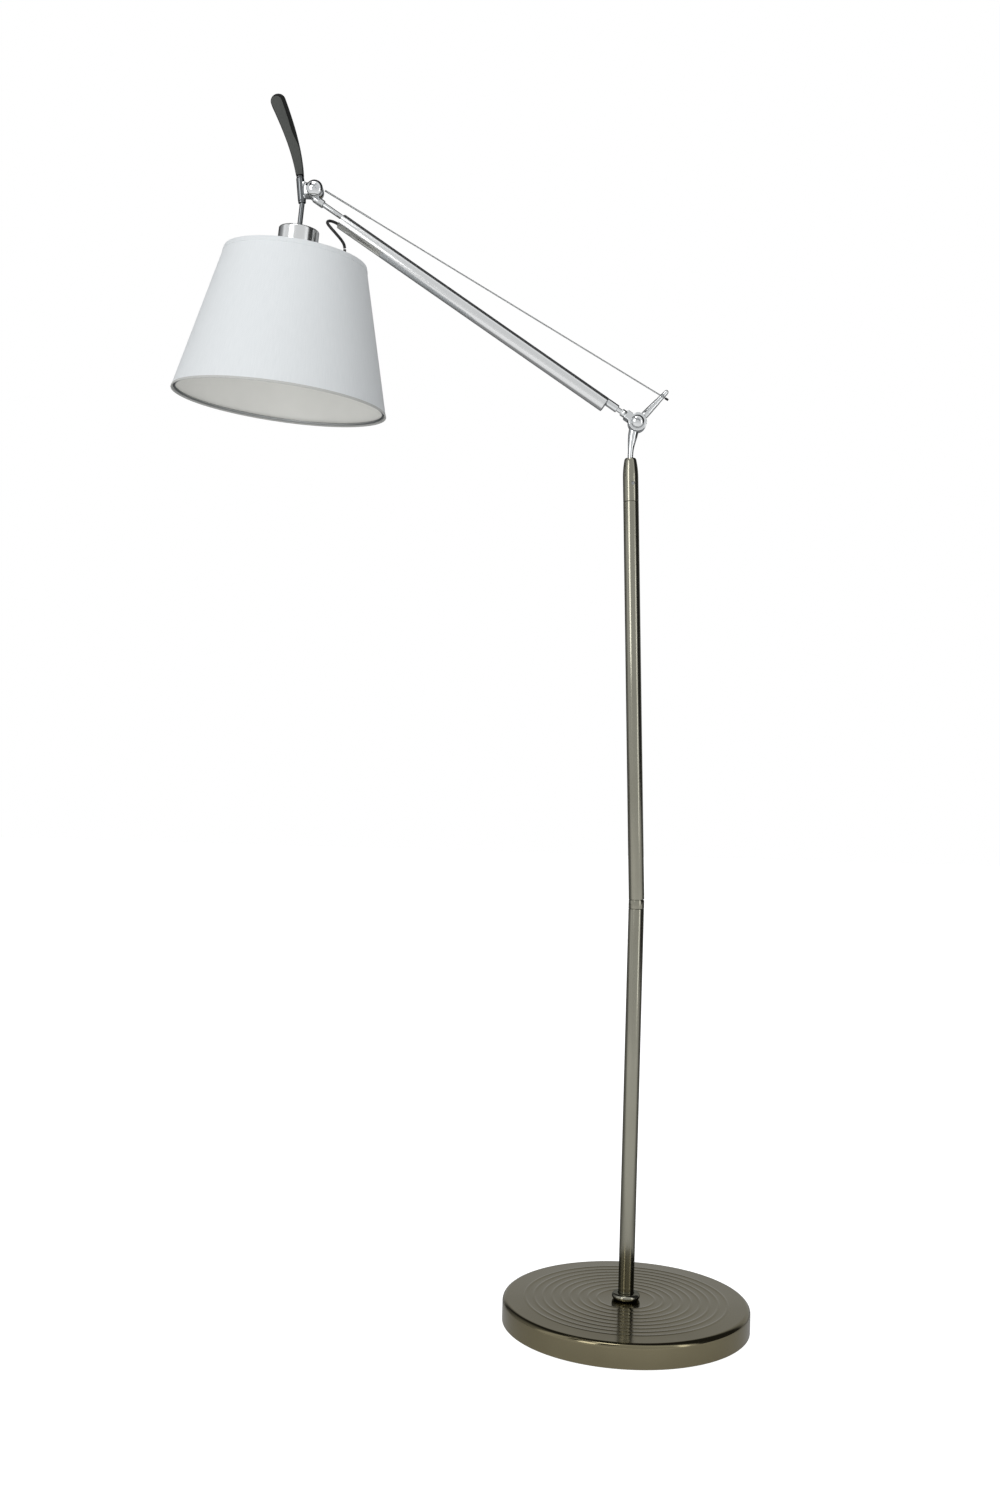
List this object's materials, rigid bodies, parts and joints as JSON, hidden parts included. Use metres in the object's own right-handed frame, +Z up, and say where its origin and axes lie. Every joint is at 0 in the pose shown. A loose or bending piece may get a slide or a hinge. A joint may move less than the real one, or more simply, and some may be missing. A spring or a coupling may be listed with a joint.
{
  "type": "adjustable arm floor lamp",
  "caption": "Floor lamp with a round weighted base, jointed pole, wire-tensioned tilting arm and a tilting tapered shade with a handle.",
  "frame": {"origin": "centre of the base's underside, on the floor", "axes": "+Z up along the lower pole; the arm reaches towards -X in the XZ plane; -Y is the front that shows the pivot screws' heads"},
  "size_m": [0.741, 0.3025, 1.4961],
  "materials": {
    "brushed_nickel": "brushed, lacquered",
    "chrome": "polished",
    "satin_aluminium": "satin anodised",
    "zinc_steel": "zinc plated",
    "cast_iron": "as cast",
    "black_plastic": "satin moulded",
    "grey_plastic": "fine matt moulded",
    "white_fabric": "plain woven, laminated",
    "black_rubber": "matt",
    "brass": "machined",
    "opal_glass": "opal"
  },
  "bodies": {
    "root": {"floor_pad": "black_rubber", "base_shell": "brushed_nickel", "base_weight": "cast_iron", "lead_gland": "black_rubber", "base_washer": "zinc_steel", "base_nut": "zinc_steel", "foot_nipple": "zinc_steel", "foot_collar": "brushed_nickel", "lower_tube": "brushed_nickel", "lower_tube_plug": "zinc_steel", "pole_coupler": "brushed_nickel", "upper_tube": "brushed_nickel", "pole_ferrule": "brushed_nickel", "set_screw": "zinc_steel", "pole_lead": "black_plastic"},
    "pole_head": {"neck_knuckle": "chrome", "tension_lever": "chrome"},
    "arm": {"lower_fork": "chrome", "arm_pivot_screw": "chrome", "arm_pivot_nut": "chrome", "lower_rod": "chrome", "lower_nose": "chrome", "lower_end_plug": "satin_aluminium", "arm_tube": "satin_aluminium", "balance_spring": "zinc_steel", "hidden_wire": "zinc_steel", "arm_lead": "black_plastic", "upper_end_plug": "satin_aluminium", "upper_rod": "chrome", "upper_fork": "chrome", "head_pivot_screw": "chrome", "head_pivot_nut": "chrome", "flex_upper": "black_plastic"},
    "wire": {"wire_pin": "zinc_steel", "tension_wire": "zinc_steel", "wire_stop": "black_plastic"},
    "lead_in": {"wire_lead_in": "zinc_steel"},
    "pulley": {"wire_pulley": "brass"},
    "clamp": {"head_clamp": "chrome"},
    "head": {"stem_rod": "chrome", "stem_collar_lower": "chrome", "stem_collar_upper": "chrome", "handle_body": "black_plastic", "handle_face_front": "grey_plastic", "handle_face_back": "grey_plastic", "lampholder_cap": "satin_aluminium", "stem_nut": "zinc_steel", "lampholder": "black_plastic", "bulb": "opal_glass", "shade_spider": "zinc_steel", "shade": "white_fabric", "shade_top_ring": "zinc_steel", "shade_bottom_ring": "zinc_steel", "flex_lower": "black_plastic"}
  },
  "joints": [
    {"name": "pole_swivel", "type": "hinge", "parent": "root", "child": "pole_head", "pos_m": [0, 0, 0.515], "axis": [-0.041, 0, 0.9992], "range_deg": [-165, 165]},
    {"name": "arm_tilt", "type": "hinge", "parent": "pole_head", "child": "arm", "pos_m": [-0.01504, 0, 1.10088], "axis": [0, 1, 0], "range_deg": [-30, 40]},
    {"name": "wire_swing", "type": "hinge", "parent": "pole_head", "child": "wire", "pos_m": [0.01507, 0, 1.13432], "axis": [0, 1, 0], "range_deg": [-35, 45]},
    {"name": "wire_feed", "type": "slide", "parent": "wire", "child": "lead_in", "axis": [-0.8661, 0, 0.4998], "range_m": [-0.035, 0.03]},
    {"name": "pulley_spin", "type": "hinge", "parent": "arm", "child": "pulley", "pos_m": [-0.42054, 0, 1.37784], "axis": [0, 1, 0], "range_deg": [-300, 300]},
    {"name": "head_tilt", "type": "hinge", "parent": "arm", "child": "clamp", "pos_m": [-0.42054, 0, 1.37784], "axis": [0, 1, 0], "range_deg": [-4, 90], "deforming": ["flex_upper"]},
    {"name": "head_swivel", "type": "hinge", "parent": "clamp", "child": "head", "pos_m": [-0.43635, 0, 1.36164], "axis": [-0.1097, 0, 0.994], "range_deg": [-45, 45], "deforming": ["flex_lower"]}
  ],
  "couplings": [
    {"joint": "wire_swing", "follows": "arm_tilt", "ratio": 0.9934},
    {"joint": "wire_feed", "follows": "arm_tilt", "m_per_rad": -0.04325},
    {"joint": "pulley_spin", "follows": "arm_tilt", "ratio": -6.36}
  ]
}
